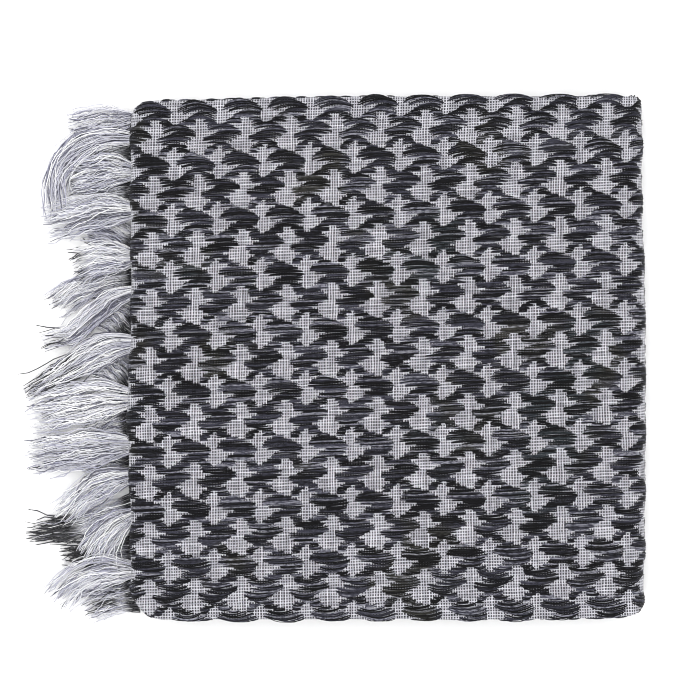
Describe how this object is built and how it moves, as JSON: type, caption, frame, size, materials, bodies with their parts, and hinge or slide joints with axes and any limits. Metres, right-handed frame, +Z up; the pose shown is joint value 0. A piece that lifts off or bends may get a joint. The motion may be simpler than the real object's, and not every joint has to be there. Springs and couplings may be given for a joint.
{
  "type": "folded keffiyeh headscarf",
  "caption": "Square fringed cotton keffiyeh folded into a flat packet, dark float-woven pattern on pale ground, tassels out at one side.",
  "frame": {"origin": "on the surface the packet rests on, below the middle of the folded cloth", "axes": "+X away from the fringe, towards the fold round all the layers; +Y to the back edge; +Z up out of the packet"},
  "size_m": [0.3299, 0.279, 0.0208],
  "materials": {
    "woven_cotton": "matt float-woven cotton, charcoal floats on a pale grey plain-weave ground",
    "layered_cotton": "matt edges of folded cotton layers",
    "fringe_cotton": "matt loose cotton yarn ends, pale grey with a few dark ones"
  },
  "bodies": {
    "root": {"top_stretch": "woven_cotton", "under_stretch": "woven_cotton", "left_fold": "woven_cotton", "right_fold": "woven_cotton", "folded_layers": "layered_cotton", "tassel_upper_01": "fringe_cotton", "tassel_upper_02": "fringe_cotton", "tassel_upper_03": "fringe_cotton", "tassel_upper_04": "fringe_cotton", "tassel_upper_05": "fringe_cotton", "tassel_upper_06": "fringe_cotton", "tassel_upper_07": "fringe_cotton", "tassel_upper_08": "fringe_cotton", "tassel_upper_09": "fringe_cotton", "tassel_upper_10": "fringe_cotton", "tassel_upper_11": "fringe_cotton", "tassel_upper_12": "fringe_cotton", "tassel_lower_01": "fringe_cotton", "tassel_lower_02": "fringe_cotton", "tassel_lower_03": "fringe_cotton", "tassel_lower_04": "fringe_cotton", "tassel_lower_05": "fringe_cotton", "tassel_lower_06": "fringe_cotton", "tassel_lower_07": "fringe_cotton", "tassel_lower_08": "fringe_cotton", "tassel_lower_09": "fringe_cotton", "tassel_lower_10": "fringe_cotton", "tassel_lower_11": "fringe_cotton"}
  },
  "joints": []
}
